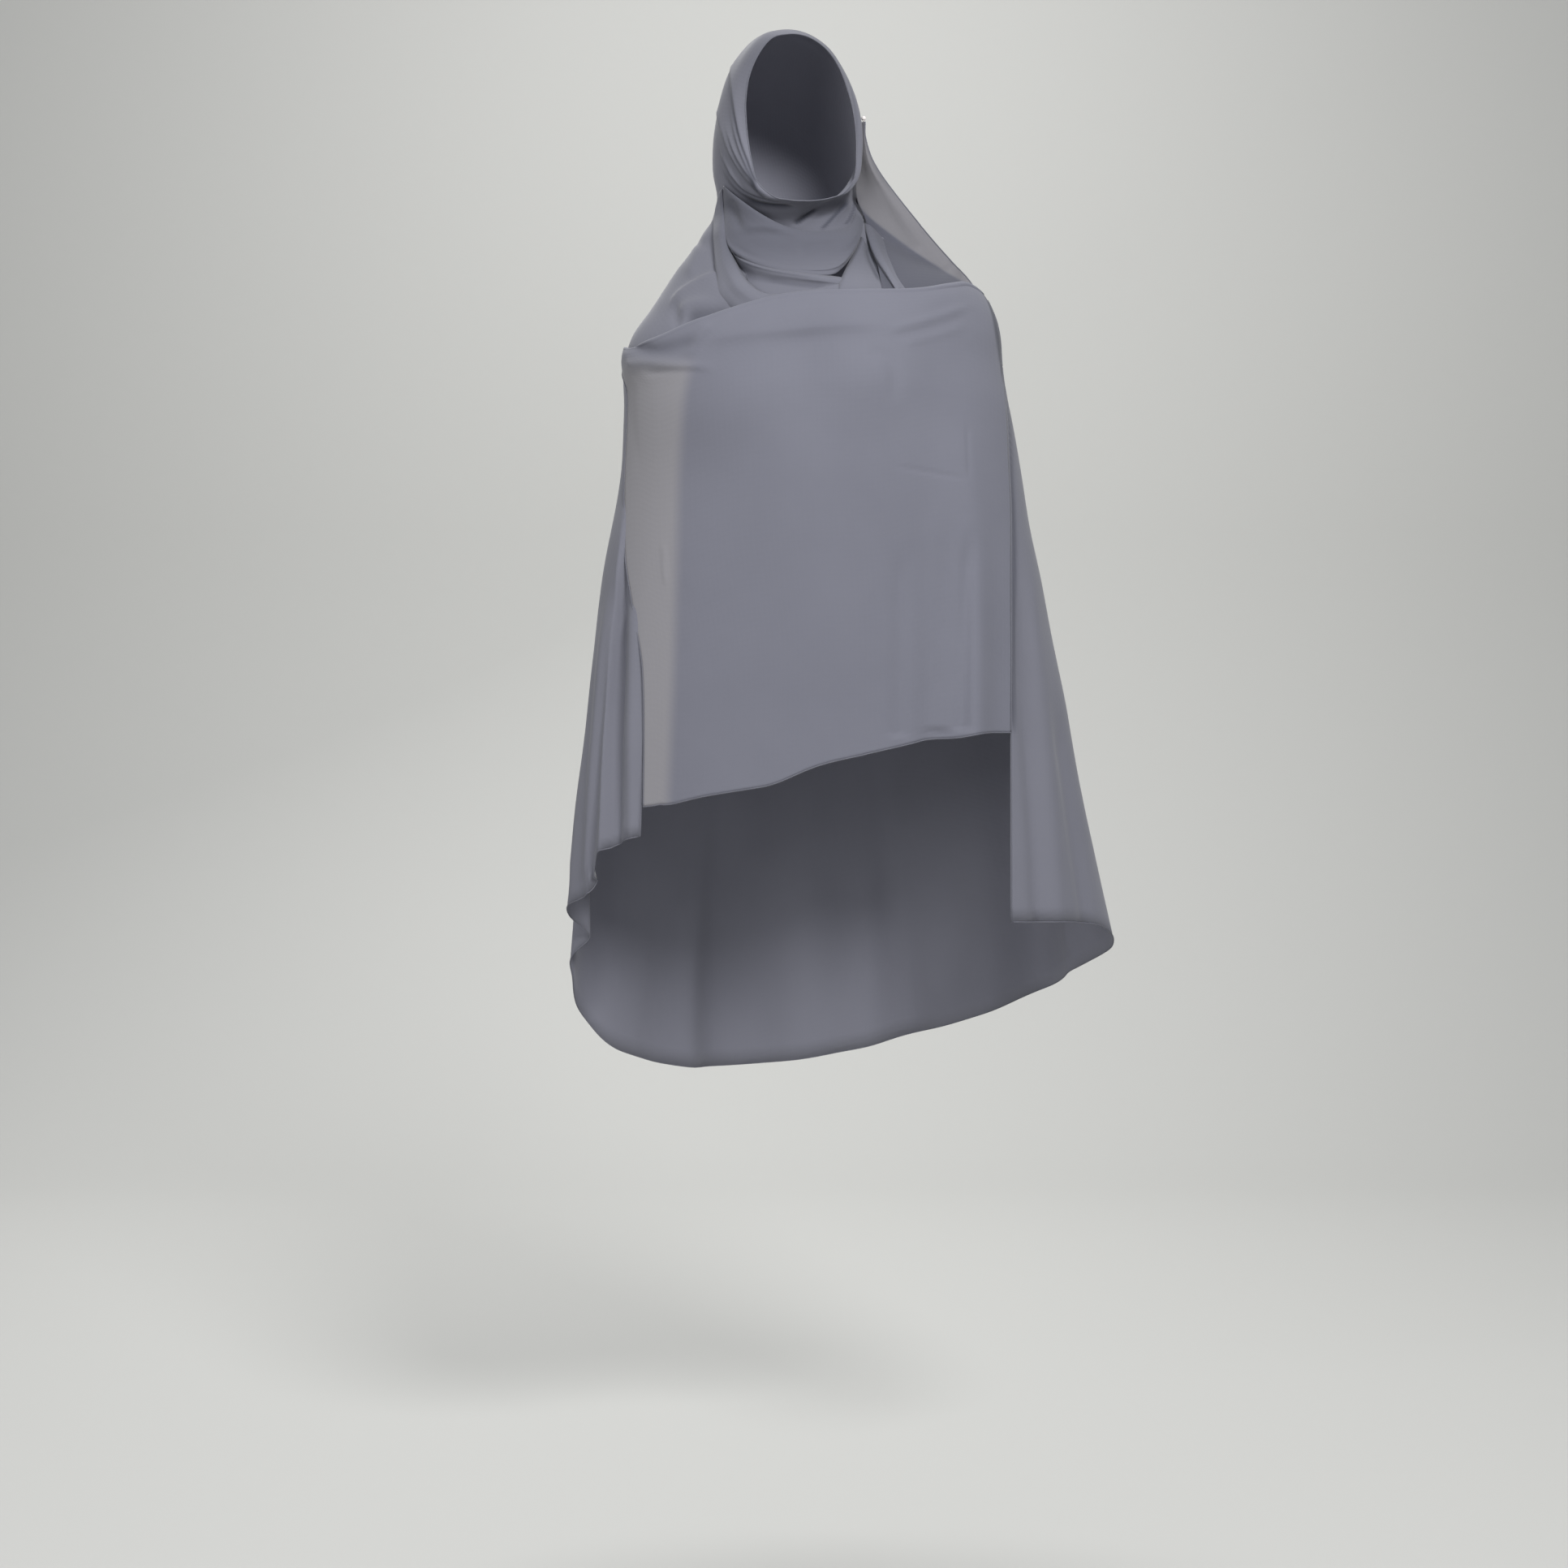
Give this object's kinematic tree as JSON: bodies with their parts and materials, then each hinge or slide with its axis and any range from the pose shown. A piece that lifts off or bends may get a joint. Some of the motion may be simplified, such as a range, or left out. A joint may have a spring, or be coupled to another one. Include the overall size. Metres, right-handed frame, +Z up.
{
  "type": "draped chiffon head wrap",
  "caption": "Sheer head wrap kept in its worn form: close hood, two soft neck swags, a rolled chest panel and a long open back drape, pinned at one temple.",
  "frame": {"origin": "inside the crown of the hood, where it sits on top of the head", "axes": "+Z up along the wearer's height, the wearer faces -Y, +X towards the viewer's right"},
  "size_m": [0.6847, 0.39, 1.3031],
  "materials": {
    "chiffon": "matte crepe chiffon with a faint sheen",
    "pearl": "pearly gloss"
  },
  "bodies": {
    "root": {"hood": "chiffon", "back_drape": "chiffon", "chest_panel": "chiffon", "cowl_upper": "chiffon", "cowl_lower": "chiffon", "pin_fall": "chiffon", "pin": "pearl"}
  },
  "joints": []
}
